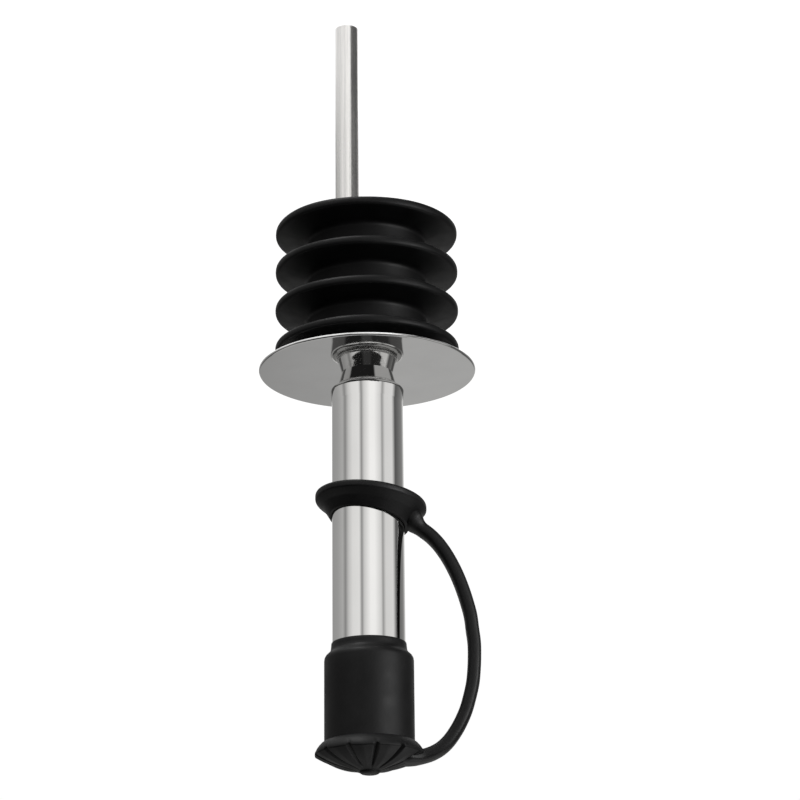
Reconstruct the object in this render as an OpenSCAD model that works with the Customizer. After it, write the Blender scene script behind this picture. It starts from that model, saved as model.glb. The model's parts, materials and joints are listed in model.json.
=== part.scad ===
// Liquor pour spout: steel spout and disc, finned rubber stopper, breather tube, tethered dust cap.
// The origin is the centre of the disc's bottle-side face, and +Z runs up the spout to the cap.

/* [Spout tube] */
// Outer diameter of the spout tube and of the stem tube
tube_d = 9.5; // [7.9:0.1:12]
// Wall of the spout tube and of the stem tube
tube_wall = 0.4; // [0.3:0.05:0.5]
// Height of the spout's highest point above the origin
spout_h = 49.2; // [40:0.1:60]
// Slant of the cut at the spout's tip, in degrees
tip_slant = 25; // [0:1:30]
// Amount by which the rolled shoulder stands out from the tube
shoulder_bulge = 0.15; // [0:0.01:0.3]

/* [Neck] */
// Height of the neck's visible cone
neck_h = 1.8; // [1:0.1:3]
// Wall of the neck where it passes through the disc
neck_wall = 0.35; // [0.3:0.05:0.5]
// Height of the bead between the cone and the tube
bead_h = 0.4; // [0.3:0.05:0.6]

/* [Disc] */
// Diameter of the disc that rests on the bottle's lip
disc_d = 29; // [26:0.1:36]
// Thickness of the disc
disc_t = 0.5; // [0.4:0.05:1]

/* [Stopper] */
// Diameter over the stopper's fins
fin_d = 24.7; // [20:0.1:30]
// Number of fins
fin_count = 4; // [2:1:6]
// Distance from one fin to the next
fin_pitch = 5.6; // [4:0.1:7]
// Thickness of a fin at its edge
fin_edge_t = 1.1; // [0.9:0.05:1.4]
// Thickness of a fin at the core
fin_root_t = 2.6; // [1.6:0.1:3.2]
// Diameter of the stopper's core
core_d = 16; // [14.6:0.1:18]
// Height of the core above the first fin's middle, up to the disc
first_fin_drop = 2.7; // [2:0.1:5]
// Length of the core below the last fin's middle
core_tail = 1.9; // [1.6:0.1:4]
// Length of the stem tube that shows below the stopper
stem_tail = 0.6; // [0.2:0.1:3]

/* [Breather tube] */
// Outer diameter of the breather tube
breather_d = 3.2; // [2.4:0.1:4]
// Wall of the breather tube
breather_wall = 0.3; // [0.2:0.05:0.4]
// Length of the breather tube that hangs below the stem tube
breather_tail = 28.8; // [10:0.1:45]
// Distance from the breather's upper end to the spout's highest point
breather_setback = 5.8; // [5.5:0.1:12]

/* [Tether ring] */
// Height of the ring's brim above the origin
ring_z = 18.6; // [15:0.1:22]
// Width of the brim, from the bore to its edge
brim_w = 2.6; // [1.8:0.05:4]
// Thickness of the brim
brim_t = 0.9; // [0.7:0.05:1.4]
// Height of the ring's crown above the brim's middle
crown_h = 2.7; // [1.5:0.1:3]
// Wall of the crown at its upper edge
crown_wall = 0.5; // [0.4:0.05:0.8]
// Sideways tilt of the brim on the tube, in degrees
brim_tilt_side = 6; // [0:0.5:8]
// Forward tilt of the brim on the tube, in degrees
brim_tilt_front = 4; // [0:0.5:6]
// Further tilt of the crown's edge, where the strap pulls it, in degrees
crown_tilt = 4; // [0:0.5:5]

/* [Strap] */
// Width of the strap
strap_w = 3; // [2:0.1:4]
// Thickness of the strap
strap_t = 1.75; // [1:0.05:2.2]

/* [Dust cap] */
// Depth of the cap's socket
cap_depth = 12.1; // [8:0.1:16]
// Wall of the cap's sleeve
cap_wall = 1; // [0.8:0.1:2]
// Height of the cap's tapered mouth
mouth_h = 2.2; // [1:0.1:3]
// Wall of the cap at its mouth
mouth_wall = 0.25; // [0.2:0.05:0.5]
// Amount by which the flange stands out from the sleeve
flange_w = 1.25; // [0.8:0.05:2]
// Number of flutes on the cap's dome
flute_count = 12; // [6:1:16]
// Width of a flute's square cutter
flute_w = 0.7; // [0.3:0.05:0.9]

/* [Hidden] */
$fn = 64;

running_gap = 0.05;   // radial clearance of the ring and the cap on the tube
breather_gap = 0.1;   // clearance of the breather tube in the neck
wall_gap = 0.15;      // clearance of the breather tube beside the tube walls
strap_gap = 0.02;     // gap between the strap's upper end and the cap
cut = 1;              // overshoot of a cutter past the face that it leaves

// Tubes
tube_r = tube_d / 2;
tube_bore_r = tube_r - tube_wall;

// Neck, riveted through the disc below and flared inside the spout above
waist_r = tube_bore_r - 0.55;
cone_top_r = waist_r + 0.1;
cone_foot_r = waist_r - 0.4;
spigot_r = cone_foot_r - 0.1;
neck_bore_r = spigot_r - neck_wall;
bead_r = waist_r + 0.35;
rivet_r = spigot_r + 0.6;
rivet_t = 0.5;
flare_r = tube_bore_r - wall_gap;
flare_t = 0.5;
bead_foot_z = disc_t + neck_h;
bead_top_z = bead_foot_z + bead_h;
lip_top_z = bead_top_z + tube_wall;
neck_top_z = lip_top_z + flare_t;
rivet_foot_z = -tube_wall - rivet_t;

// Shoulder of the spout tube
shoulder_r = tube_r + shoulder_bulge;
shoulder_round = shoulder_r - tube_bore_r;
shoulder_h = 2.2;

// Disc
disc_r = disc_d / 2;
disc_edge = disc_t / 2;

// Stopper
fin_r = fin_d / 2;
fin_land = 0.3;
fin_round = (fin_edge_t - fin_land) / 2;
core_r = core_d / 2;
stopper_foot_z = -first_fin_drop - (fin_count - 1) * fin_pitch - core_tail;
stem_foot_z = stopper_foot_z - stem_tail;
core_chamfer = 0.4;

// Breather tube
breather_r = breather_d / 2;
breather_bore_r = breather_r - breather_wall;
breather_side_x = tube_bore_r - breather_r - wall_gap;
breather_neck_x = neck_bore_r - breather_r - breather_gap;
bend_h = 7;
bend_swell = 0.03;
bend_gap = 0.6;
lower_bend_z = rivet_foot_z - bend_gap - bend_h;
upper_bend_z = neck_top_z + bend_gap;
breather_line = [
  [breather_side_x, stem_foot_z - breather_tail], [breather_side_x, lower_bend_z],
  [breather_neck_x, lower_bend_z + bend_h], [breather_neck_x, upper_bend_z],
  [breather_side_x, upper_bend_z + bend_h], [breather_side_x, spout_h - breather_setback]
];

// Tether ring
ring_bore_r = tube_r + running_gap;
brim_r = ring_bore_r + brim_w;
brim_round = brim_t / 2;
crown_r = ring_bore_r + crown_wall;

// Dust cap
cap_bore_r = tube_r + running_gap;
sleeve_r = cap_bore_r + cap_wall;
flange_r = sleeve_r + flange_w;
socket_end_z = spout_h + 0.6;
mouth_z = socket_end_z - cap_depth;
flange_foot_z = socket_end_z + 0.8;
flange_step_z = flange_foot_z + 0.3;
rim_foot_z = flange_foot_z + 1.2;
rim_z = rim_foot_z + 0.5;
dome_rise = 2.05;
dome_r = (flange_r * flange_r + dome_rise * dome_rise) / (2 * dome_rise);
dome_top_z = rim_z + dome_rise;
nub_r = 1.3;
nub_round = 0.35;
nub_top_z = dome_top_z + 0.35;
flute_start_r = nub_r + 0.1;
flute_end_r = flange_r + 0.2;
flute_start_z = dome_z(flute_start_r);

// Strap: its line in the XZ plane, from the ring to the cap
strap_route = [
  [-7, 22.3], [-8.1, 23.2], [-9.2, 24.4], [-10.2, 25.9], [-11, 27.4], [-11.7, 29],
  [-12.3, 30.7], [-12.8, 32.4], [-13.2, 34.1], [-13.4, 35.9], [-13.6, 37.7], [-13.6, 39.5],
  [-13.5, 41.3], [-13.3, 43], [-12.9, 44.7], [-12.4, 46.4], [-11.7, 48], [-10.9, 49.4],
  [-10, 50.6], [-9, 51.5], [-7.9, 52.1]
];
lug_reach = 2.2;
lug_rise = 3.7;
strap_last = len(strap_route) - 1;
strap_root = [-(ring_bore_r + lug_reach), ring_z + lug_rise];
strap_end = [-(flange_r + 0.85), rim_z - 0.2];
root_shift = strap_root - strap_route[0];
end_shift = strap_end - strap_route[strap_last];
strap_path = [
  for (i = [0:strap_last]) strap_route[i] + root_shift * (1 - i / strap_last) + end_shift * (i / strap_last)
];
root_dir = unit(strap_path[1] - strap_path[0]);
end_dir = unit(strap_path[strap_last] - strap_path[strap_last - 1]);
strap_corner = 0.3;
strap_section = [
  [1, -strap_corner], [1, strap_corner], [strap_corner, 1], [-strap_corner, 1],
  [-1, strap_corner], [-1, -strap_corner], [-strap_corner, -1], [strap_corner, -1]
];

// Height of the dome above radius r
function dome_z(r) = dome_top_z - dome_r + sqrt(dome_r * dome_r - r * r);

function unit(v) = v / norm(v);

// Direction square to v in the XZ plane
function square_to(v) = [-v[1], v[0]];

// Direction of the strap at point i
function strap_dir(i) = i == 0 ? root_dir
  : i == strap_last ? end_dir
  : unit(strap_path[i + 1] - strap_path[i - 1]);

// One corner of the strap's section at point i
function strap_point(i, corner) =
  let (
    side = square_to(strap_dir(i)) * corner[0] * strap_t / 2,
    middle = strap_path[i] - (i == strap_last ? end_dir * strap_gap : [0, 0])
  )
  [middle[0] + side[0], corner[1] * strap_w / 2, middle[1] + side[1]];

// A straight hollow cylinder from one height to another
module pipe(outer_r, bore_r, low_z, high_z) {
  difference() {
    translate([0, 0, low_z]) cylinder(r = outer_r, h = high_z - low_z);
    translate([0, 0, low_z - cut]) cylinder(r = bore_r, h = high_z - low_z + 2 * cut);
  }
}

// Half plane above the slanted line of the spout's cut, thick enough to clear the tube
module tip_cutter() {
  translate([-tube_r, 0, spout_h])
    rotate([0, tip_slant, 0])
      translate([-tube_d, -tube_d, 0])
        cube([4 * tube_d, 2 * tube_d, 2 * tube_d]);
}

module spout_outline() {
  difference() {
    union() {
      polygon([
        [waist_r, bead_top_z], [tube_bore_r, bead_top_z], [shoulder_r, bead_top_z + shoulder_round],
        [tube_r, bead_top_z + shoulder_h], [tube_r, spout_h], [waist_r, spout_h]
      ]);
      translate([tube_bore_r, bead_top_z + shoulder_round])
        circle(r = shoulder_round);
    }
    translate([waist_r - cut, lip_top_z])
      square([tube_bore_r - waist_r + cut, spout_h]);
  }
}

module spout_tube() {
  color("gainsboro")
    difference() {
      rotate_extrude()
        spout_outline();
      tip_cutter();
    }
}

module neck() {
  color("silver")
    rotate_extrude() {
      polygon([
        [neck_bore_r, rivet_foot_z], [rivet_r, rivet_foot_z], [rivet_r, -tube_wall],
        [spigot_r, -tube_wall], [spigot_r, disc_t], [cone_foot_r, disc_t],
        [cone_top_r, bead_foot_z], [bead_r - bead_h / 2, bead_foot_z], [bead_r - bead_h / 2, bead_top_z],
        [waist_r, bead_top_z], [waist_r, lip_top_z], [flare_r, lip_top_z], [flare_r, neck_top_z],
        [neck_bore_r, neck_top_z]
      ]);
      translate([bead_r - bead_h / 2, bead_foot_z + bead_h / 2])
        circle(d = bead_h);
    }
}

module disc() {
  color("silver")
    rotate_extrude() {
      translate([spigot_r, 0])
        square([disc_r - disc_edge - spigot_r, disc_t]);
      translate([disc_r - disc_edge, disc_edge])
        circle(r = disc_edge);
    }
}

module stem_tube() {
  color("silver") {
    pipe(tube_r, tube_bore_r, stem_foot_z, -tube_wall);
    pipe(tube_r, spigot_r, -tube_wall, 0);
  }
}

// Outline of one fin, from inside the core to its rounded edge
module fin_outline() {
  edge_x = fin_r - fin_round;
  polygon([
    [core_r - cut, -fin_root_t / 2], [edge_x, -fin_edge_t / 2],
    [edge_x, fin_edge_t / 2], [core_r - cut, fin_root_t / 2]
  ]);
  for (side = [-1, 1])
    translate([edge_x, side * fin_land / 2])
      circle(r = fin_round);
  translate([edge_x, -fin_land / 2])
    square([fin_round, fin_land]);
}

module stopper() {
  color("#101010") {
    rotate_extrude()
      polygon([
        [tube_r, 0], [core_r, 0], [core_r, stopper_foot_z + core_chamfer],
        [core_r - core_chamfer, stopper_foot_z], [tube_r, stopper_foot_z]
      ]);
    for (i = [0:fin_count - 1])
      translate([0, 0, -first_fin_drop - i * fin_pitch])
        rotate_extrude()
          fin_outline();
  }
}

// A round rod along the breather's line, with a ball at each bend
module breather_rod(r) {
  for (i = [0:len(breather_line) - 2]) {
    from = breather_line[i];
    to = breather_line[i + 1];
    translate([from[0], 0, from[1]])
      rotate([0, atan2(to[0] - from[0], to[1] - from[1]), 0])
        cylinder(r = r, h = norm(to - from));
  }
  for (i = [1:len(breather_line) - 2])
    translate([breather_line[i][0], 0, breather_line[i][1]])
      sphere(r = r + bend_swell);
}

// The tube runs along the stem's wall, through the neck, and along the spout's wall
module breather_tube() {
  color("lightgray")
    difference() {
      breather_rod(breather_r);
      breather_rod(breather_bore_r);
    }
}

// The lump of rubber that carries the strap's lower end, beside the ring's crown
module ring_lug() {
  side = square_to(root_dir) * strap_t / 2;
  inner_x = -(ring_bore_r + crown_wall / 2);
  brim_x = -(brim_r - brim_t);
  rotate([90, 0, 0])
    linear_extrude(height = strap_w, center = true)
      polygon([
        strap_root + side, [brim_x, ring_z + brim_w * sin(brim_tilt_side)], [inner_x, ring_z],
        [inner_x, ring_z + crown_h + strap_t / 2], strap_root - side
      ]);
}

// The brim and the crown, level, with the crown's edge cut at a slant
module ring_shell() {
  slope = (brim_r - brim_round - crown_r) / (crown_h - brim_t / 2);
  peak_h = crown_h + cut;
  difference() {
    rotate_extrude() {
      polygon([
        [tube_bore_r, -brim_t / 2], [brim_r - brim_round, -brim_t / 2],
        [brim_r - brim_round, brim_t / 2], [crown_r - slope * cut, peak_h], [tube_bore_r - slope * cut, peak_h]
      ]);
      translate([brim_r - brim_round, 0])
        circle(r = brim_round);
    }
    translate([0, 0, crown_h])
      rotate([crown_tilt, crown_tilt, 0])
        translate([-tube_d, -tube_d, 0])
          cube(2 * tube_d);
  }
}

module tether_ring() {
  color("#1c1c1c")
    difference() {
      union() {
        translate([0, 0, ring_z])
          rotate([brim_tilt_front, brim_tilt_side, 0])
            ring_shell();
        ring_lug();
      }
      translate([0, 0, ring_z - tube_d])
        cylinder(r = ring_bore_r, h = 2 * tube_d);
    }
}

module tether_strap() {
  sides = len(strap_section);
  color("#1c1c1c")
    polyhedron(
      points = [for (i = [0:strap_last]) for (corner = strap_section) strap_point(i, corner)],
      faces = [
        [for (k = [0:sides - 1]) k],
        for (i = [0:strap_last - 1]) for (k = [0:sides - 1])
          [i * sides + k, (i + 1) * sides + k, (i + 1) * sides + (k + 1) % sides, i * sides + (k + 1) % sides],
        [for (k = [sides - 1:-1:0]) strap_last * sides + k]
      ]
    );
}

// The lump of rubber that carries the strap's upper end, under the cap's flange
module cap_lug() {
  side = square_to(end_dir) * strap_t / 2;
  inner_x = -(flange_r - 2.8);
  rotate([90, 0, 0])
    linear_extrude(height = strap_w, center = true)
      polygon([
        strap_end + side, [-flange_r, rim_z + 1], [inner_x, dome_z(-inner_x)],
        [inner_x, flange_foot_z], strap_end - side
      ]);
}

module cap_outline() {
  polygon([
    [cap_bore_r, mouth_z], [cap_bore_r + mouth_wall, mouth_z],
    [cap_bore_r + mouth_wall + 0.08, mouth_z + mouth_h * 0.42], [sleeve_r - 0.2, mouth_z + mouth_h * 0.73],
    [sleeve_r, mouth_z + mouth_h], [sleeve_r, flange_foot_z], [0, flange_foot_z],
    [0, socket_end_z], [cap_bore_r, socket_end_z]
  ]);
  intersection() {
    polygon([
      [0, socket_end_z], [sleeve_r, flange_foot_z], [sleeve_r + 0.4, flange_step_z],
      [flange_r, rim_foot_z], [flange_r, dome_top_z], [0, dome_top_z + cut]
    ]);
    translate([0, dome_top_z - dome_r])
      circle(r = dome_r);
  }
  translate([0, flange_foot_z])
    square([nub_r - nub_round, nub_top_z - flange_foot_z]);
  intersection() {
    translate([nub_r - nub_round, nub_top_z - nub_round])
      circle(r = nub_round);
    translate([0, flange_foot_z])
      square([nub_r, nub_top_z - flange_foot_z]);
  }
}

// A square bar laid edge down along the dome, which cuts one flute
module flute_cutter() {
  run = flute_end_r - flute_start_r;
  fall = flute_start_z - rim_z;
  translate([flute_start_r, 0, flute_start_z])
    rotate([0, atan(fall / run), 0])
      rotate([45, 0, 0])
        translate([0, -flute_w / 2, -flute_w / 2])
          cube([norm([run, fall]), flute_w, flute_w]);
}

module dust_cap() {
  color("#262626") {
    difference() {
      rotate_extrude()
        cap_outline();
      for (i = [0:flute_count - 1])
        rotate([0, 0, (i + 0.75) * 360 / flute_count])
          flute_cutter();
    }
    cap_lug();
  }
}

spout_tube();
neck();
disc();
stem_tube();
stopper();
breather_tube();
tether_ring();
tether_strap();
dust_cap();
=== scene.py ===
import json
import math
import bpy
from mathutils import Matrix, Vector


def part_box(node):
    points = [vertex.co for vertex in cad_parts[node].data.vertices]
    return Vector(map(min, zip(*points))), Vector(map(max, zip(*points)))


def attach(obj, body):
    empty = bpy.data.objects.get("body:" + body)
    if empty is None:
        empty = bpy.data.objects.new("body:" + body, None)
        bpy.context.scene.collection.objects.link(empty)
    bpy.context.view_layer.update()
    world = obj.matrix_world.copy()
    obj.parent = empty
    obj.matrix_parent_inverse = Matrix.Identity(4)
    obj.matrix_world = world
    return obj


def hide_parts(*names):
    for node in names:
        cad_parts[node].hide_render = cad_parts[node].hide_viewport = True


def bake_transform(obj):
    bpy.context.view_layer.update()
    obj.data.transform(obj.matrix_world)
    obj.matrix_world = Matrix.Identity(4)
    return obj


bl_info = {
    "name": "Liquor Pour Spout",
    "version": (1, 0, 0),
    "blender": (4, 5, 0),
    "location": "3D View > Sidebar > Pour Spout",
    "description": "Looks of a steel liquor pour spout with a finned rubber stopper and a tethered dust cap",
    "category": "Object",
}

import bmesh
import bpy
from bpy.props import FloatProperty, FloatVectorProperty, IntProperty, PointerProperty
from mathutils import Matrix, Vector

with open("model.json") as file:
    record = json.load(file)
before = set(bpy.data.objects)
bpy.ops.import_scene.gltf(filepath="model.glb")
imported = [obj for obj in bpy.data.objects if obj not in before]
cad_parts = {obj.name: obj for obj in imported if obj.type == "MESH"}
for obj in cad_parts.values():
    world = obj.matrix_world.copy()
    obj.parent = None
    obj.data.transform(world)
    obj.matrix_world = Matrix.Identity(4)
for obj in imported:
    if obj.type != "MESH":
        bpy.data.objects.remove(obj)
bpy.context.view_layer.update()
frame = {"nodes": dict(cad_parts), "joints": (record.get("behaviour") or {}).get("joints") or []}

STEEL_NODES = ("spout_tube", "neck", "stem_tube", "disc", "breather_tube")
MM = 0.001

# Heights and radii that the frame gives, in metres
TUBE_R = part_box("stem_tube")[1].x
STOPPER_LOW, STOPPER_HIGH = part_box("stopper")
CAP_LOW, CAP_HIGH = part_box("dust_cap")
RING_Z = next(j["pos_m"][2] for j in frame["joints"] if j["name"] == "ring_swivel")

# Gap between the tube and the rubber that slides on it
TUBE_GAP = 0.05 * MM

# The strap's centreline in the XZ plane, in millimetres, from inside the ring to inside the cap
STRAP_ROUTE = [
    (-5.5, 20.5), (-6.15, 21.4), (-7, 22.3), (-8.1, 23.2), (-9.2, 24.4), (-10.2, 25.9),
    (-11, 27.4), (-11.7, 29), (-12.3, 30.7), (-12.8, 32.4), (-13.2, 34.1), (-13.4, 35.9),
    (-13.6, 37.7), (-13.6, 39.5), (-13.5, 41.3), (-13.3, 43), (-12.9, 44.7), (-12.4, 46.4),
    (-11.7, 48), (-10.9, 49.4), (-10, 50.6), (-9, 51.5), (-7.9, 52.1), (-6.8, 52.45),
    (-5.6, 52.75), (-4.5, 52.8), (-3.5, 52.55),
]


# ---------------------------------------------------------------- sizes and colours


class SteelSettings(bpy.types.PropertyGroup):
    """Colours and polish of the steel parts"""

    tube_colour: FloatVectorProperty(
        name="Tube colour", description="Colour of the polished spout tube and neck",
        subtype="COLOR", size=3, min=0, max=1, default=(0.70, 0.697, 0.69),
    )
    disc_colour: FloatVectorProperty(
        name="Disc colour", description="Colour of the disc",
        subtype="COLOR", size=3, min=0, max=1, default=(0.66, 0.66, 0.655),
    )
    breather_colour: FloatVectorProperty(
        name="Breather colour", description="Colour of the brushed breather tube",
        subtype="COLOR", size=3, min=0, max=1, default=(0.66, 0.65, 0.635),
    )
    polish: FloatProperty(
        name="Roughness", description="Mean roughness of the polished steel",
        subtype="FACTOR", min=0.01, max=0.5, default=0.03,
    )


class StopperSettings(bpy.types.PropertyGroup):
    """Sizes and colour of the finned stopper"""

    fin_radius: FloatProperty(
        name="Fin radius", description="Radius of the stopper over its fins",
        unit="LENGTH", min=0.008, max=0.02, default=STOPPER_HIGH.x,
    )
    core_radius: FloatProperty(
        name="Core radius", description="Radius of the core between the fins",
        unit="LENGTH", min=0.006, max=0.012, default=8 * MM,
    )
    fin_count: IntProperty(name="Fins", description="Number of fins", min=2, max=6, default=4)
    fin_pitch: FloatProperty(
        name="Fin pitch", description="Distance from one fin to the next",
        unit="LENGTH", min=0.003, max=0.008, default=5.6 * MM,
    )
    first_fin: FloatProperty(
        name="First fin", description="Depth of the first fin's middle under the disc",
        unit="LENGTH", min=0.002, max=0.006, default=2.7 * MM,
    )
    edge_thickness: FloatProperty(
        name="Edge thickness", description="Thickness of a fin near its edge",
        unit="LENGTH", min=0.0006, max=0.002, default=1.1 * MM,
    )
    root_thickness: FloatProperty(
        name="Root thickness", description="Thickness of a fin where it meets the core",
        unit="LENGTH", min=0.001, max=0.004, default=2.6 * MM,
    )
    colour: FloatVectorProperty(
        name="Colour", description="Colour of the stopper's rubber",
        subtype="COLOR", size=3, min=0, max=1, default=(0.002, 0.002, 0.0021),
    )


class TetherSettings(bpy.types.PropertyGroup):
    """Sizes and colour of the ring and the strap"""

    brim_radius: FloatProperty(
        name="Brim radius", description="Mean radius of the ring's brim",
        unit="LENGTH", min=0.006, max=0.01, default=7.32 * MM,
    )
    brim_thickness: FloatProperty(
        name="Brim thickness", description="Thickness of the brim's rounded edge",
        unit="LENGTH", min=0.0004, max=0.002, default=0.9 * MM,
    )
    crown_wall: FloatProperty(
        name="Crown wall", description="Wall of the crown at its edge",
        unit="LENGTH", min=0.0002, max=0.001, default=0.4 * MM,
    )
    crown_height: FloatProperty(
        name="Crown height", description="Height of the crown's edge above the brim's middle",
        unit="LENGTH", min=0.001, max=0.004, default=2.7 * MM,
    )
    brim_tilt: FloatVectorProperty(
        name="Brim tilt", description="Tilt of the brim to the side and to the front",
        subtype="EULER", size=2, default=(math.radians(6.2), math.radians(4)),
    )
    crown_tilt: FloatVectorProperty(
        name="Crown tilt", description="Tilt of the crown's edge to the side and to the front",
        subtype="EULER", size=2, default=(math.radians(10), math.radians(8)),
    )
    strap_width: FloatProperty(
        name="Strap width", description="Width of the strap across its bend",
        unit="LENGTH", min=0.001, max=0.005, default=3 * MM,
    )
    strap_thickness: FloatProperty(
        name="Strap thickness", description="Thickness of the strap in its bend",
        unit="LENGTH", min=0.001, max=0.003, default=1.75 * MM,
    )
    colour: FloatVectorProperty(
        name="Colour", description="Colour of the rubber of the ring and the strap",
        subtype="COLOR", size=3, min=0, max=1, default=(0.003, 0.003, 0.0031),
    )


class CapSettings(bpy.types.PropertyGroup):
    """Sizes of the dust cap"""

    flange_radius: FloatProperty(
        name="Flange radius", description="Radius of the flange round the dome",
        unit="LENGTH", min=0.006, max=0.01, default=CAP_HIGH.x,
    )
    sleeve_radius: FloatProperty(
        name="Sleeve radius", description="Outer radius of the sleeve",
        unit="LENGTH", min=0.005, max=0.008, default=5.8 * MM,
    )
    socket_depth: FloatProperty(
        name="Socket depth", description="Depth of the socket that the spout's tip goes into",
        unit="LENGTH", min=0.008, max=0.016, default=12.1 * MM,
    )
    roof_thickness: FloatProperty(
        name="Roof thickness", description="Height from the socket's end to the flange's foot",
        unit="LENGTH", min=0.0004, max=0.002, default=0.8 * MM,
    )
    flange_height: FloatProperty(
        name="Flange height", description="Height from the flange's foot to its rim",
        unit="LENGTH", min=0.001, max=0.003, default=1.7 * MM,
    )
    dome_rise: FloatProperty(
        name="Dome rise", description="Rise of the dome over the flange's rim",
        unit="LENGTH", min=0.001, max=0.004, default=2.05 * MM,
    )
    nub_radius: FloatProperty(
        name="Nub radius", description="Radius of the nub on the dome",
        unit="LENGTH", min=0.0008, max=0.002, default=1.35 * MM,
    )
    flute_count: IntProperty(
        name="Flutes", description="Number of flutes on the dome", min=6, max=24, default=12
    )
    flute_width: FloatProperty(
        name="Flute width", description="Width of a flute at the flange",
        unit="LENGTH", min=0.0002, max=0.002, default=0.75 * MM,
    )
    flute_depth: FloatProperty(
        name="Flute depth", description="Depth of a flute at the flange",
        unit="LENGTH", min=0.0001, max=0.001, default=0.36 * MM,
    )
    colour: FloatVectorProperty(
        name="Colour", description="Colour of the cap's rubber",
        subtype="COLOR", size=3, min=0, max=1, default=(0.003, 0.003, 0.0031),
    )


class StageSettings(bpy.types.PropertyGroup):
    """The floor, the light and the camera"""

    floor_drop: FloatProperty(
        name="Floor drop", description="Distance from the origin down to the floor",
        unit="LENGTH", min=0.1, max=0.5, default=0.25,
    )
    key_power: FloatProperty(
        name="Key light", description="Power of the soft light at the front, on the strap's side",
        unit="POWER", min=0, max=50, default=2.0,
    )
    low_power: FloatProperty(
        name="Low light", description="Power of the soft light low at the front, away from the strap",
        unit="POWER", min=0, max=50, default=0.4,
    )
    top_power: FloatProperty(
        name="Top light", description="Power of the soft light overhead, behind",
        unit="POWER", min=0, max=50, default=0.6,
    )
    lens: FloatProperty(
        name="Lens", description="Focal length of the camera",
        unit="CAMERA", min=20, max=300, default=117.6,
    )


# ---------------------------------------------------------------- outlines and meshes


def rounded(corners, steps=6):
    """A closed outline through corners (r, z, rounding), with each corner rounded off."""
    line = []
    count = len(corners)
    for i, (r, z, rounding) in enumerate(corners):
        corner = Vector((r, z))
        if rounding <= 0:
            line.append((r, z))
            continue
        before = Vector(corners[i - 1][:2]) - corner
        after = Vector(corners[(i + 1) % count][:2]) - corner
        reach = rounding / math.tan(before.angle(after) / 2)
        start = corner + before.normalized() * min(reach, before.length * 0.48)
        end = corner + after.normalized() * min(reach, after.length * 0.48)
        for k in range(steps + 1):
            t = k / steps
            point = start * (1 - t) ** 2 + corner * (2 * t * (1 - t)) + end * t ** 2
            line.append((point.x, point.y))
    return line


def lathe(outline, angles, place, closed=True):
    """Points and faces of an outline turned about the axis. place(i, r, z, angle) gives a point."""
    points, faces, rows = [], [], []
    turns = len(angles)
    for i, (r, z) in enumerate(outline):
        if r < 1e-7:
            rows.append([len(points)] * turns)
            points.append(place(i, 0.0, z, 0.0))
        else:
            rows.append(list(range(len(points), len(points) + turns)))
            points.extend(place(i, r, z, a) for a in angles)
    last = len(rows) if closed else len(rows) - 1
    for i in range(last):
        low, high = rows[i], rows[(i + 1) % len(rows)]
        for k in range(turns):
            n = (k + 1) % turns
            loop = []
            for v in (low[k], low[n], high[n], high[k]):
                if v not in loop:
                    loop.append(v)
            if len(loop) > 2:
                faces.append(loop)
    return points, faces


def even_angles(count):
    """Angles of a full turn in even steps."""
    return [2 * math.pi * k / count for k in range(count)]


def turned(i, r, z, angle):
    """A point of a plain turned shape."""
    return (r * math.cos(angle), r * math.sin(angle), z)


def smooth_step(low, high, value):
    """0 below low, 1 above high, and a smooth rise between them."""
    t = min(1.0, max(0.0, (value - low) / (high - low)))
    return t * t * (3 - 2 * t)


def make_piece(context, name, points, faces, material, node, body=None, crease=40):
    """A smooth mesh object that stands for a CAD node and rides on its body."""
    mesh = bpy.data.meshes.new(name)
    mesh.from_pydata(points, [], faces)
    work = bmesh.new()
    work.from_mesh(mesh)
    bmesh.ops.recalc_face_normals(work, faces=work.faces)
    work.to_mesh(mesh)
    work.free()
    mesh.shade_smooth()
    mesh.set_sharp_from_angle(angle=math.radians(crease))
    obj = bpy.data.objects.new(name, mesh)
    context.scene.collection.objects.link(obj)
    mesh.materials.append(material)
    if body:
        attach(obj, body)
    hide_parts(node)
    return obj


def catmull(points, per_span):
    """A smooth line through the points."""
    vs = [Vector(p) for p in points]
    vs = [vs[0] * 2 - vs[1], *vs, vs[-1] * 2 - vs[-2]]
    line = []
    for i in range(1, len(vs) - 2):
        a, b, c, d = vs[i - 1:i + 3]
        for k in range(per_span):
            t = k / per_span
            line.append((b * 2 + (c - a) * t + (a * 2 - b * 5 + c * 4 - d) * t ** 2
                         + (b * 3 - a - c * 3 + d) * t ** 3) / 2)
    return line + [vs[-2]]


# ---------------------------------------------------------------- finishes


def new_finish(name):
    """A material with an empty node tree, and its Principled shader."""
    material = bpy.data.materials.new(name)
    material.use_nodes = True
    shader = material.node_tree.nodes["Principled BSDF"]
    return material, material.node_tree, shader


def noise(tree, scale, detail=4.0, stretch=(1, 1, 1)):
    """A noise texture in the object's own metres, stretched along an axis."""
    where = tree.nodes.new("ShaderNodeTexCoord")
    mapping = tree.nodes.new("ShaderNodeMapping")
    mapping.inputs["Scale"].default_value = stretch
    texture = tree.nodes.new("ShaderNodeTexNoise")
    texture.inputs["Scale"].default_value = scale
    texture.inputs["Detail"].default_value = detail
    tree.links.new(where.outputs["Object"], mapping.inputs["Vector"])
    tree.links.new(mapping.outputs["Vector"], texture.inputs["Vector"])
    return texture.outputs["Fac"]


def spread(tree, value, low, high, socket):
    """Sends a value between 0.3 and 0.7 to a socket as one between low and high."""
    ramp = tree.nodes.new("ShaderNodeMapRange")
    ramp.inputs["From Min"].default_value = 0.3
    ramp.inputs["From Max"].default_value = 0.7
    ramp.inputs["To Min"].default_value = low
    ramp.inputs["To Max"].default_value = high
    tree.links.new(value, ramp.inputs["Value"])
    tree.links.new(ramp.outputs["Result"], socket)


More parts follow.
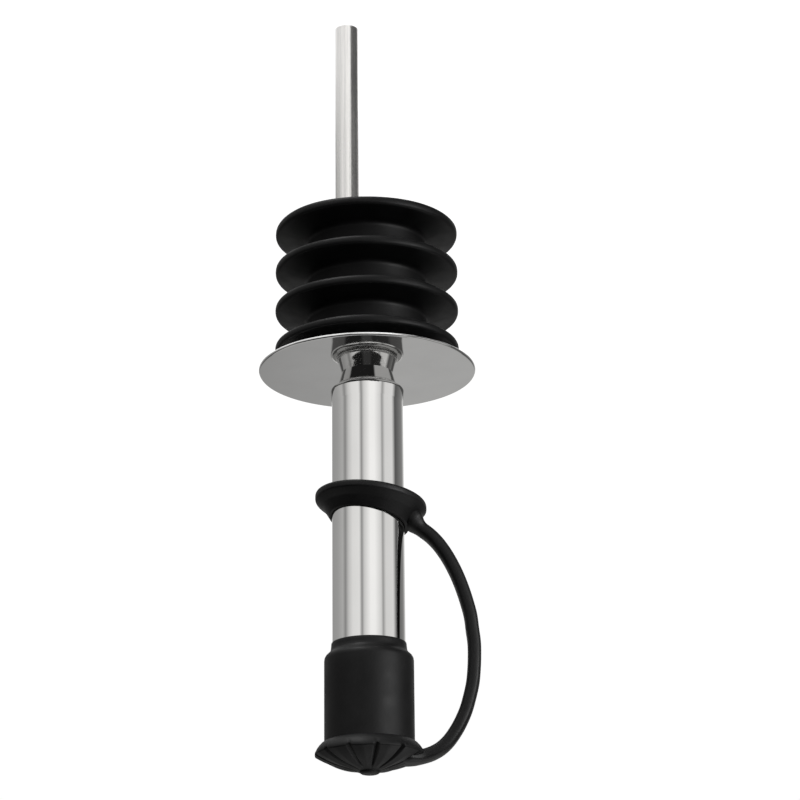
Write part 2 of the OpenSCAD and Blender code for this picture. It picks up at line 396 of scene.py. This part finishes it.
def tint(tree, value, colour, share, socket):
    """Varies a colour by a share up and down with a value between 0.3 and 0.7."""
    ramp = tree.nodes.new("ShaderNodeValToRGB")
    ramp.color_ramp.elements[0].position = 0.3
    ramp.color_ramp.elements[1].position = 0.7
    ramp.color_ramp.elements[0].color = [c * (1 - share) for c in colour] + [1]
    ramp.color_ramp.elements[1].color = [min(1, c * (1 + share)) for c in colour] + [1]
    tree.links.new(value, ramp.inputs["Fac"])
    tree.links.new(ramp.outputs["Color"], socket)


def relief(tree, value, strength, depth, shader, under=None):
    """Turns a value into a bump on the shader, on top of another bump if there is one."""
    bump = tree.nodes.new("ShaderNodeBump")
    bump.inputs["Strength"].default_value = strength
    bump.inputs["Distance"].default_value = depth
    tree.links.new(value, bump.inputs["Height"])
    if under:
        tree.links.new(under.outputs["Normal"], bump.inputs["Normal"])
    tree.links.new(bump.outputs["Normal"], shader.inputs["Normal"])
    return bump


def polished_steel(name, colour, roughness):
    """Bright tube steel with a faint draw grain along the tube and a few handling smears."""
    material, tree, shader = new_finish(name)
    shader.inputs["Metallic"].default_value = 1
    smears = noise(tree, 260, 3, (1, 1, 0.5))
    grain = noise(tree, 9000, 2, (1, 1, 0.01))
    tint(tree, smears, colour, 0.02, shader.inputs["Base Color"])
    spread(tree, smears, roughness * 0.8, roughness * 1.25, shader.inputs["Roughness"])
    relief(tree, grain, 0.02, 0.000001, shader)
    return material


def sheet_steel(name, colour, roughness):
    """Sheet steel, a little softer than the tube, with faint rolling grain across the disc."""
    material, tree, shader = new_finish(name)
    shader.inputs["Metallic"].default_value = 1
    smears = noise(tree, 180, 4)
    grain = noise(tree, 7000, 3, (0.02, 1, 1))
    tint(tree, smears, colour, 0.03, shader.inputs["Base Color"])
    spread(tree, smears, roughness * 1.2, roughness * 2, shader.inputs["Roughness"])
    dent = relief(tree, noise(tree, 110, 1), 0.5, 0.00012, shader)
    relief(tree, grain, 0.02, 0.000001, shader, dent)
    return material


def brushed_steel(name, colour):
    """Thin tube steel, brushed lengthwise."""
    material, tree, shader = new_finish(name)
    shader.inputs["Metallic"].default_value = 1
    smears = noise(tree, 300, 3, (1, 1, 0.3))
    lines = noise(tree, 6500, 4, (1, 1, 0.012))
    tint(tree, lines, colour, 0.08, shader.inputs["Base Color"])
    spread(tree, smears, 0.2, 0.3, shader.inputs["Roughness"])
    relief(tree, lines, 0.25, 0.000012, shader)
    return material


def rubber(name, colour, low, high, gloss):
    """Moulded rubber, with a fine matt skin, soft mottling and roughness between low and high."""
    material, tree, shader = new_finish(name)
    shader.inputs["Specular IOR Level"].default_value = gloss
    mottle = noise(tree, 420, 5)
    skin = noise(tree, 5200, 3)
    swell = noise(tree, 150, 2)
    tint(tree, mottle, colour, 0.22, shader.inputs["Base Color"])
    spread(tree, mottle, low, high, shader.inputs["Roughness"])
    soft = relief(tree, swell, 0.35, 0.00008, shader)
    relief(tree, skin, 0.22, 0.000014, shader, soft)
    return material


def finish_named(name, make, *values):
    """The finish of that name, made on first use. The frame's own plain materials have other names."""
    return bpy.data.materials.get(name) or make(name, *values)


def tether_rubber(context):
    """The rubber of the ring and the strap."""
    colour = tuple(context.scene.spout_tether.colour)
    return finish_named("matt_tether_rubber", rubber, colour, 0.42, 0.54, 0.15)


def coat_nodes(names, material):
    """Gives CAD nodes a finish."""
    for name in names:
        slots = frame["nodes"][name].data.materials
        slots.clear()
        slots.append(material)


# ---------------------------------------------------------------- operators


class POURSPOUT_OT_steel(bpy.types.Operator):
    """Finish the steel parts: spout tube, neck, disc, stem tube and breather tube"""

    bl_idname = "pourspout.steel"
    bl_label = "Finish Steel Parts"

    def execute(self, context):
        steel = context.scene.spout_steel
        polished = finish_named("bright_tube_steel", polished_steel, tuple(steel.tube_colour), steel.polish)
        sheet = finish_named("rolled_sheet_steel", sheet_steel, tuple(steel.disc_colour), steel.polish)
        brushed = finish_named("brushed_tube_steel", brushed_steel, tuple(steel.breather_colour))
        coat_nodes(STEEL_NODES[:3], polished)
        coat_nodes(("disc",), sheet)
        coat_nodes(("breather_tube",), brushed)
        return {"FINISHED"}


class POURSPOUT_OT_stopper(bpy.types.Operator):
    """Make the rubber stopper: a core with soft-edged fins that are filleted at the root"""

    bl_idname = "pourspout.stopper"
    bl_label = "Make Finned Stopper"

    def execute(self, context):
        s = context.scene.spout_stopper
        top, bottom = STOPPER_HIGH.z, STOPPER_LOW.z
        bore = TUBE_R + 0.01 * MM
        corners = [(bore, top, 0), (s.core_radius, top, 0.1 * MM)]
        for i in range(s.fin_count):
            middle = -s.first_fin - i * s.fin_pitch
            corners += [
                (s.core_radius, middle + s.root_thickness / 2, 0.7 * MM),
                (s.fin_radius, middle + s.edge_thickness / 2, 0.55 * MM),
                (s.fin_radius, middle - s.edge_thickness / 2, 0.55 * MM),
                (s.core_radius, middle - s.root_thickness / 2, 0.7 * MM),
            ]
        corners += [(s.core_radius, bottom, 0.4 * MM), (bore, bottom, 0.15 * MM)]

        def soft_edge(i, r, z, angle):
            """Lets each fin's edge wave a little, as soft rubber does."""
            out = smooth_step(s.core_radius, s.fin_radius, r)
            wave = math.sin(3 * angle + z * 900) + 0.6 * math.sin(5 * angle - z * 1700)
            return turned(i, r - 0.02 * MM * out, z + 0.035 * MM * out * wave, angle)

        points, faces = lathe(rounded(corners), even_angles(144), soft_edge)
        material = finish_named("matt_stopper_rubber", rubber, tuple(s.colour), 0.42, 0.54, 0.1)
        make_piece(
            context, "finned_stopper", points, faces, material, "stopper", "root", 60
        )
        return {"FINISHED"}


class POURSPOUT_OT_ring(bpy.types.Operator):
    """Make the tether ring: a brim with a rounded edge under a crown that is pulled aside by the strap"""

    bl_idname = "pourspout.ring"
    bl_label = "Make Tether Ring"

    def execute(self, context):
        t = context.scene.spout_tether
        bore = TUBE_R + TUBE_GAP
        half = t.brim_thickness / 2
        corners = [
            (bore, -half, 0.1 * MM),
            (t.brim_radius, -half, 0.42 * MM),
            (t.brim_radius, half, 0.42 * MM),
            (bore + 1.35 * MM, half + 0.85 * MM, 0.8 * MM),
            (bore + t.crown_wall, t.crown_height, 0.12 * MM),
            (bore, t.crown_height, 0.08 * MM),
        ]
        lean = [(math.tan(a), math.tan(b)) for a, b in (t.brim_tilt, t.crown_tilt)]

        def tilted(i, r, z, angle):
            """Tilts the brim and the crown each by their own angle, round a bore that stays upright."""
            x, y = r * math.cos(angle), r * math.sin(angle)
            share = smooth_step(half, t.crown_height, z)
            side = lean[0][0] * (1 - share) + lean[1][0] * share
            front = lean[0][1] * (1 - share) + lean[1][1] * share
            out = (r - bore) / (t.brim_radius - bore)
            x -= 0.36 * MM * out
            return (x, y, RING_Z + z - x * side + y * front)

        points, faces = lathe(rounded(corners), even_angles(128), tilted)
        make_piece(
            context, "tether_ring_rubber", points, faces, tether_rubber(context),
            "tether_ring", "ring", 60,
        )
        return {"FINISHED"}


class POURSPOUT_OT_strap(bpy.types.Operator):
    """Make the strap that joins the ring to the cap, with a flared root at each end"""

    bl_idname = "pourspout.strap"
    bl_label = "Make Strap"

    def execute(self, context):
        t = context.scene.spout_tether
        line = catmull([(x * MM, 0.0, z * MM) for x, z in STRAP_ROUTE], 5)
        last = len(line) - 1
        run = [0.0]
        for i in range(last):
            run.append(run[-1] + (line[i + 1] - line[i]).length)
        sides = 24
        points, faces = [], []
        for i, middle in enumerate(line):
            along = (line[min(i + 1, last)] - line[max(i - 1, 0)]).normalized()
            across = Vector((-along.z, 0.0, along.x))
            root = 1 - smooth_step(0.8 * MM, 3 * MM, run[i])
            end = 1 - smooth_step(1.6 * MM, 4.4 * MM, run[-1] - run[i])
            thick = t.strap_thickness / 2 * (1 + 0.5 * root ** 2 - 0.2 * end ** 2)
            wide = t.strap_width / 2 * (1 + 0.45 * root ** 2 + 0.5 * end ** 2)
            for k in range(sides):
                a = 2 * math.pi * k / sides
                c, s = math.cos(a), math.sin(a)
                u = math.copysign(abs(c) ** 0.62, c) * thick
                v = math.copysign(abs(s) ** 0.62, s) * wide
                point = middle + across * u
                points.append((point.x, v, point.z))
            if i:
                for k in range(sides):
                    n = (k + 1) % sides
                    a = (i - 1) * sides
                    b = i * sides
                    faces.append((a + k, a + n, b + n, b + k))
        faces.append(tuple(range(sides)))
        faces.append(tuple(range(last * sides, (last + 1) * sides)))
        strap = make_piece(
            context, "cap_strap", points, faces, tether_rubber(context), "tether_strap"
        )
        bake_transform(strap)
        return {"FINISHED"}


class POURSPOUT_OT_cap(bpy.types.Operator):
    """Make the dust cap: a sleeve with a tapered mouth, a flange and a fluted dome with a nub"""

    bl_idname = "pourspout.cap"
    bl_label = "Make Dust Cap"

    def execute(self, context):
        c = context.scene.spout_cap
        bore = TUBE_R + TUBE_GAP
        mouth, top = CAP_LOW.z, CAP_HIGH.z
        socket = mouth + c.socket_depth
        foot = socket + c.roof_thickness
        rim = foot + c.flange_height
        dome_top = rim + c.dome_rise
        dome_r = (c.flange_radius ** 2 + c.dome_rise ** 2) / (2 * c.dome_rise)
        nub = c.nub_radius

        def dome_z(r):
            return dome_top - dome_r + math.sqrt(dome_r ** 2 - r * r)

        outline = [(0.0, top)]
        for k in range(1, 7):
            a = math.pi / 2 * k / 6
            outline.append((nub * 0.55 + nub * 0.45 * math.sin(a), top - 0.42 * MM * (1 - math.cos(a))))
        outline.append((nub * 1.03, dome_z(nub) + 0.03 * MM))
        steps = 26
        for k in range(1, steps + 1):
            r = nub * 1.1 + (c.flange_radius - 0.16 * MM - nub * 1.1) * k / steps
            outline.append((r, dome_z(r)))
        dome_end = len(outline)
        outline += [
            (c.flange_radius - 0.05 * MM, rim + 0.03 * MM),
            (c.flange_radius, rim - 0.08 * MM),
            (c.flange_radius - 0.03 * MM, rim - 0.3 * MM),
            (c.flange_radius - 0.25 * MM, rim - 0.72 * MM),
            (c.flange_radius - 0.52 * MM, rim - 1.1 * MM),
            (c.sleeve_radius + 0.42 * MM, foot + 0.26 * MM),
            (c.sleeve_radius + 0.2 * MM, foot + 0.1 * MM),
            (c.sleeve_radius, foot),
            (c.sleeve_radius, foot - 0.3 * MM),
        ]
        sleeve_foot = mouth + 2.35 * MM
        for k in range(1, 9):
            outline.append((c.sleeve_radius, foot - 0.3 * MM - (foot - 0.3 * MM - sleeve_foot) * k / 8))
        outline += [
            (c.sleeve_radius - 0.05 * MM, mouth + 1.98 * MM),
            (c.sleeve_radius - 0.2 * MM, mouth + 1.7 * MM),
            (c.sleeve_radius - 0.45 * MM, mouth + 1.45 * MM),
            (bore + 0.28 * MM, mouth + 1.2 * MM),
            (bore + 0.16 * MM, mouth + 0.9 * MM),
            (bore + 0.1 * MM, mouth + 0.45 * MM),
            (bore + 0.07 * MM, mouth + 0.04 * MM),
            (bore + 0.05 * MM, mouth),
            (bore + 0.02 * MM, mouth),
            (bore, mouth + 0.03 * MM),
            (bore, socket),
            (0.0, socket),
        ]
        period = 2 * math.pi / c.flute_count
        offsets = [0, 0.8, 1.6, 2.4, 3.1, 3.8, 5.2, 7.5, 10, 12.5]
        offsets = [math.radians(o) * 12 / c.flute_count for o in offsets]
        offsets += [period / 2] + [period - o for o in reversed(offsets[1:])]
        first = 0.75 * period
        angles = [first + i * period + o for i in range(c.flute_count) for o in offsets]

        def fluted(i, r, z, angle):
            """Cuts the flutes, and crowns the leaf between each two of them."""
            if r < nub * 1.05 or i > dome_end + 4:
                return turned(i, r, z, angle)
            turn = (angle - first + period / 2) % period - period / 2
            away = abs(turn) * r
            out = smooth_step(nub, 3.2 * MM, r)
            width = c.flute_width / 2 * (0.35 + 0.65 * smooth_step(nub, c.flange_radius, r))
            groove = max(0.0, 1 - away / width) * c.flute_depth * out * (0.45 + 0.55 * r / c.flange_radius)
            leaf = (1 - (abs(turn) / (period / 2)) ** 2) * 0.1 * MM * out
            fade = 1 - smooth_step(dome_end, dome_end + 4, i)
            drop = (groove + leaf) * fade
            lean = math.asin(min(1.0, r / dome_r)) if i < dome_end else math.radians(55)
            return turned(i, r - drop * math.sin(lean), z - drop * math.cos(lean), angle)

        points, faces = lathe(outline, angles, fluted, closed=False)
        material = finish_named("matt_cap_rubber", rubber, tuple(c.colour), 0.44, 0.56, 0.12)
        make_piece(context, "fluted_dust_cap", points, faces, material, "dust_cap", "cap", 32)
        return {"FINISHED"}


def stage_mesh(context, name, points, faces, material):
    """A mesh of the stage, which isn't part of the spout."""
    mesh = bpy.data.meshes.new(name)
    mesh.from_pydata(points, [], faces)
    obj = bpy.data.objects.new(name, mesh)
    context.scene.collection.objects.link(obj)
    mesh.materials.append(material)
    return obj


# Brightness of the light tent round the spout, by the angle in degrees from the front towards -X
LOWER_BANDS = [
    (-180, 1.0), (-166, 0.9), (-158, 0.36), (-112, 0.44), (-88, 0.55), (-77, 0.32), (-64, 0.72),
    (-50, 0.95), (-28, 1.0), (-20, 0.35), (-12, 0.8), (8, 1.2), (21, 1.2), (41, 0.86), (47, 0.42),
    (57, 0.88), (84, 0.92), (98, 0.12), (140, 0.3), (166, 0.9),
]
MIDDLE_BANDS = [
    (-180, 0.44), (-174, 0.35), (-156, 0.38), (-148, 0.11), (-82, 0.1), (-72, 0.02), (-22, 0.02),
    (-12, 0.07), (12, 0.07), (20, 0.03), (72, 0.04), (84, 0.1), (150, 0.12), (160, 0.48), (174, 0.5),
]
UPPER_BANDS = [
    (-180, 0.53), (-130, 0.5), (-92, 0.45), (-84, 0.02), (34, 0.02), (42, 0.6), (116, 0.6), (130, 0.5),
]

# Radius of the tent, and the heights where its walls meet and where its ceiling is, in metres
TENT_R = 0.45
MIDDLE_Z = 0.05
UPPER_Z = 0.3
CEILING_Z = 0.9


def tent_light(name, light_bands, colour=(1.0, 0.995, 0.985)):
    """The glow of a tent wall, in bands by direction."""
    material = bpy.data.materials.new(name)
    material.use_nodes = True
    tree = material.node_tree
    tree.nodes.clear()
    where = tree.nodes.new("ShaderNodeTexCoord")
    split = tree.nodes.new("ShaderNodeSeparateXYZ")
    angle = tree.nodes.new("ShaderNodeMath")
    angle.operation = "ARCTAN2"
    flip_x = tree.nodes.new("ShaderNodeMath")
    flip_y = tree.nodes.new("ShaderNodeMath")
    for flip in (flip_x, flip_y):
        flip.operation = "MULTIPLY"
        flip.inputs[1].default_value = -1
    share = tree.nodes.new("ShaderNodeMapRange")
    share.inputs["From Min"].default_value = -math.pi
    share.inputs["From Max"].default_value = math.pi
    bands = tree.nodes.new("ShaderNodeValToRGB")
    elements = bands.color_ramp.elements
    elements.remove(elements[0])
    brightest = max(value for _, value in light_bands)
    for i, (degrees, value) in enumerate(light_bands):
        place = (degrees + 180) / 360
        element = elements[0] if i == 0 else elements.new(place)
        element.position = place
        element.color = [c * value / brightest for c in colour] + [1]
    glow = tree.nodes.new("ShaderNodeEmission")
    glow.inputs["Strength"].default_value = brightest
    out = tree.nodes.new("ShaderNodeOutputMaterial")
    link = tree.links.new
    link(where.outputs["Object"], split.inputs["Vector"])
    link(split.outputs["X"], flip_x.inputs[0])
    link(split.outputs["Y"], flip_y.inputs[0])
    link(flip_x.outputs[0], angle.inputs[0])
    link(flip_y.outputs[0], angle.inputs[1])
    link(angle.outputs[0], share.inputs["Value"])
    link(share.outputs["Result"], bands.inputs["Fac"])
    link(bands.outputs["Color"], glow.inputs["Color"])
    link(glow.outputs["Emission"], out.inputs["Surface"])
    return material


def plain_light(name, value):
    """A plain glow of the stage."""
    material = bpy.data.materials.new(name)
    material.use_nodes = True
    tree = material.node_tree
    tree.nodes.clear()
    glow = tree.nodes.new("ShaderNodeEmission")
    glow.inputs["Color"].default_value = (value, value, value, 1)
    out = tree.nodes.new("ShaderNodeOutputMaterial")
    tree.links.new(glow.outputs["Emission"], out.inputs["Surface"])
    return material


def wall(start, end, low, high, radius, low_radius=None, steps=72):
    """Points and faces of a curved wall between two angles from the front towards -X."""
    foot = low_radius or radius
    points, faces = [], []
    for k in range(steps + 1):
        a = math.radians(start + (end - start) * k / steps)
        x, y = -math.sin(a), -math.cos(a)
        points += [(x * foot, y * foot, low), (x * radius, y * radius, high)]
        if k:
            b = 2 * k
            faces.append((b - 2, b, b + 1, b - 1))
    return points, faces


def soft_lamp(context, name, around, rise, distance, size, power, shaded):
    """A round soft lamp aimed at the spout. around is its angle from the front towards -X, in degrees."""
    data = bpy.data.lights.new(name, "AREA")
    data.shape = "DISK"
    data.size = size
    data.energy = power
    lamp = bpy.data.objects.new(name, data)
    a, e = math.radians(around), math.radians(rise)
    out = Vector((-math.sin(a) * math.cos(e), -math.cos(a) * math.cos(e), math.sin(e)))
    lamp.location = out * distance + Vector((0, 0, 0.02))
    lamp.rotation_mode = "QUATERNION"
    lamp.rotation_quaternion = out.to_track_quat("Z", "Y")
    lamp.light_linking.receiver_collection = shaded
    context.scene.collection.objects.link(lamp)
    return lamp


def make_floor(context, floor_z):
    """The pale floor, and the white backdrop that only the camera sees."""
    pale = bpy.data.materials.new("pale_floor")
    pale.use_nodes = True
    shader = pale.node_tree.nodes["Principled BSDF"]
    shader.inputs["Base Color"].default_value = (0.9, 0.9, 0.9, 1)
    shader.inputs["Roughness"].default_value = 0.8
    shader.inputs["Emission Color"].default_value = (1, 1, 1, 1)
    shader.inputs["Emission Strength"].default_value = 0.9
    half = 3.0
    corners = [(x, y, floor_z) for x, y in ((-half, -half), (half, -half), (half, half), (-half, half))]
    stage_mesh(context, "floor", corners, [(0, 1, 2, 3)], pale)
    white = plain_light("backdrop_light", 1)
    backdrop = stage_mesh(context, "backdrop", *wall(-180, 180, floor_z - 0.01, 4, 2.9), white)
    backdrop.visible_diffuse = backdrop.visible_glossy = backdrop.visible_shadow = False


def make_tent(context, floor_z):
    """The light tent and its dark cards, which show only as reflections in the steel and the rubber."""
    lower = tent_light("tent_lower_light", LOWER_BANDS)
    middle = tent_light("tent_middle_light", MIDDLE_BANDS)
    upper = tent_light("tent_upper_light", UPPER_BANDS)
    ceiling = plain_light("ceiling_light", 0.5)
    dark = plain_light("dark_card_light", 0.1)
    for name, shape, material in (
        ("tent_lower", wall(-180, 180, floor_z, MIDDLE_Z, TENT_R), lower),
        ("tent_middle", wall(-180, 180, MIDDLE_Z, UPPER_Z, TENT_R), middle),
        ("tent_upper", wall(-180, 180, UPPER_Z, CEILING_Z, TENT_R), upper),
        ("low_card", wall(42, 108, floor_z, floor_z + 0.072, TENT_R - 0.01), dark),
        ("floor_card", wall(40, 140, floor_z + 0.002, floor_z + 0.003, TENT_R - 0.01, 0.12), dark),
        ("tent_ceiling", wall(-180, 180, CEILING_Z + 0.001, CEILING_Z, TENT_R, 0.001), ceiling),
    ):
        obj = stage_mesh(context, name, *shape, material)
        obj.visible_camera = obj.visible_diffuse = obj.visible_shadow = False


def make_lamps(context, settings):
    """The three soft lamps, which light the rubber and leave the steel to the tent."""
    shaded = bpy.data.collections.new("lit_by_the_tent_only")
    for i, name in enumerate(STEEL_NODES):
        shaded.objects.link(frame["nodes"][name])
        shaded.collection_objects[i].light_linking.link_state = "EXCLUDE"
    soft_lamp(context, "key_light", 52, 0, 0.4, 0.26, settings.key_power, shaded)
    soft_lamp(context, "low_light", -50, -64, 0.24, 0.12, settings.low_power, shaded)
    soft_lamp(context, "top_light", 120, 62, 0.5, 0.36, settings.top_power, shaded)


def make_camera(context, lens):
    """The camera, upside down and a little above the disc, so the cap is at the bottom of the frame."""
    data = bpy.data.cameras.new("camera")
    data.lens = lens
    data.sensor_width = 36
    data.clip_start, data.clip_end = 0.01, 20
    camera = bpy.data.objects.new("camera", data)
    place = Vector((0.0, -0.3289, 0.1201))
    aim = Vector((-0.00435, 0.0, 0.0043))
    back = (place - aim).normalized()
    right = Vector((0, 0, -1)).cross(back).normalized()
    up = back.cross(right)
    turn = Matrix((right, up, back)).transposed().to_4x4()
    roll = Matrix.Rotation(math.radians(-0.62), 4, "Z")
    camera.matrix_world = Matrix.Translation(place) @ turn @ roll
    context.scene.collection.objects.link(camera)
    context.scene.camera = camera


class POURSPOUT_OT_stage(bpy.types.Operator):
    """Make the pale floor, the light tent, the soft lights and the camera"""

    bl_idname = "pourspout.stage"
    bl_label = "Make Stage"

    def execute(self, context):
        scene = context.scene
        settings = scene.spout_stage
        make_floor(context, -settings.floor_drop)
        make_tent(context, -settings.floor_drop)
        make_lamps(context, settings)
        world = bpy.data.worlds.new("studio")
        world.use_nodes = True
        world.node_tree.nodes["Background"].inputs["Color"].default_value = (1, 1, 1, 1)
        world.node_tree.nodes["Background"].inputs["Strength"].default_value = 0.12
        scene.world = world
        scene.view_settings.view_transform = "Standard"
        make_camera(context, settings.lens)
        return {"FINISHED"}


class POURSPOUT_PT_panel(bpy.types.Panel):
    """Lists the spout's pieces in the 3D view's sidebar"""

    bl_idname = "POURSPOUT_PT_panel"
    bl_label = "Pour Spout"
    bl_space_type = "VIEW_3D"
    bl_region_type = "UI"
    bl_category = "Pour Spout"

    def draw(self, context):
        for operator, settings in PIECES:
            box = self.layout.box()
            box.operator(operator.bl_idname)
            if settings:
                group = getattr(context.scene, settings)
                for name in group.__annotations__:
                    box.prop(group, name)


GROUPS = {
    "spout_steel": SteelSettings,
    "spout_stopper": StopperSettings,
    "spout_tether": TetherSettings,
    "spout_cap": CapSettings,
    "spout_stage": StageSettings,
}
PIECES = [
    (POURSPOUT_OT_stage, "spout_stage"),
    (POURSPOUT_OT_steel, "spout_steel"),
    (POURSPOUT_OT_stopper, "spout_stopper"),
    (POURSPOUT_OT_ring, "spout_tether"),
    (POURSPOUT_OT_strap, None),
    (POURSPOUT_OT_cap, "spout_cap"),
]


def register():
    for group in GROUPS.values():
        bpy.utils.register_class(group)
    for name, group in GROUPS.items():
        setattr(bpy.types.Scene, name, PointerProperty(type=group))
    for operator, _ in PIECES:
        bpy.utils.register_class(operator)
    bpy.utils.register_class(POURSPOUT_PT_panel)


def unregister():
    bpy.utils.unregister_class(POURSPOUT_PT_panel)
    for operator, _ in reversed(PIECES):
        bpy.utils.unregister_class(operator)
    for name in GROUPS:
        delattr(bpy.types.Scene, name)
    for group in GROUPS.values():
        bpy.utils.unregister_class(group)


def main():
    register()
    bpy.ops.pourspout.stage()
    bpy.ops.pourspout.steel()
    bpy.ops.pourspout.stopper()
    bpy.ops.pourspout.ring()
    bpy.ops.pourspout.strap()
    bpy.ops.pourspout.cap()


if __name__ == "__main__":
    main()
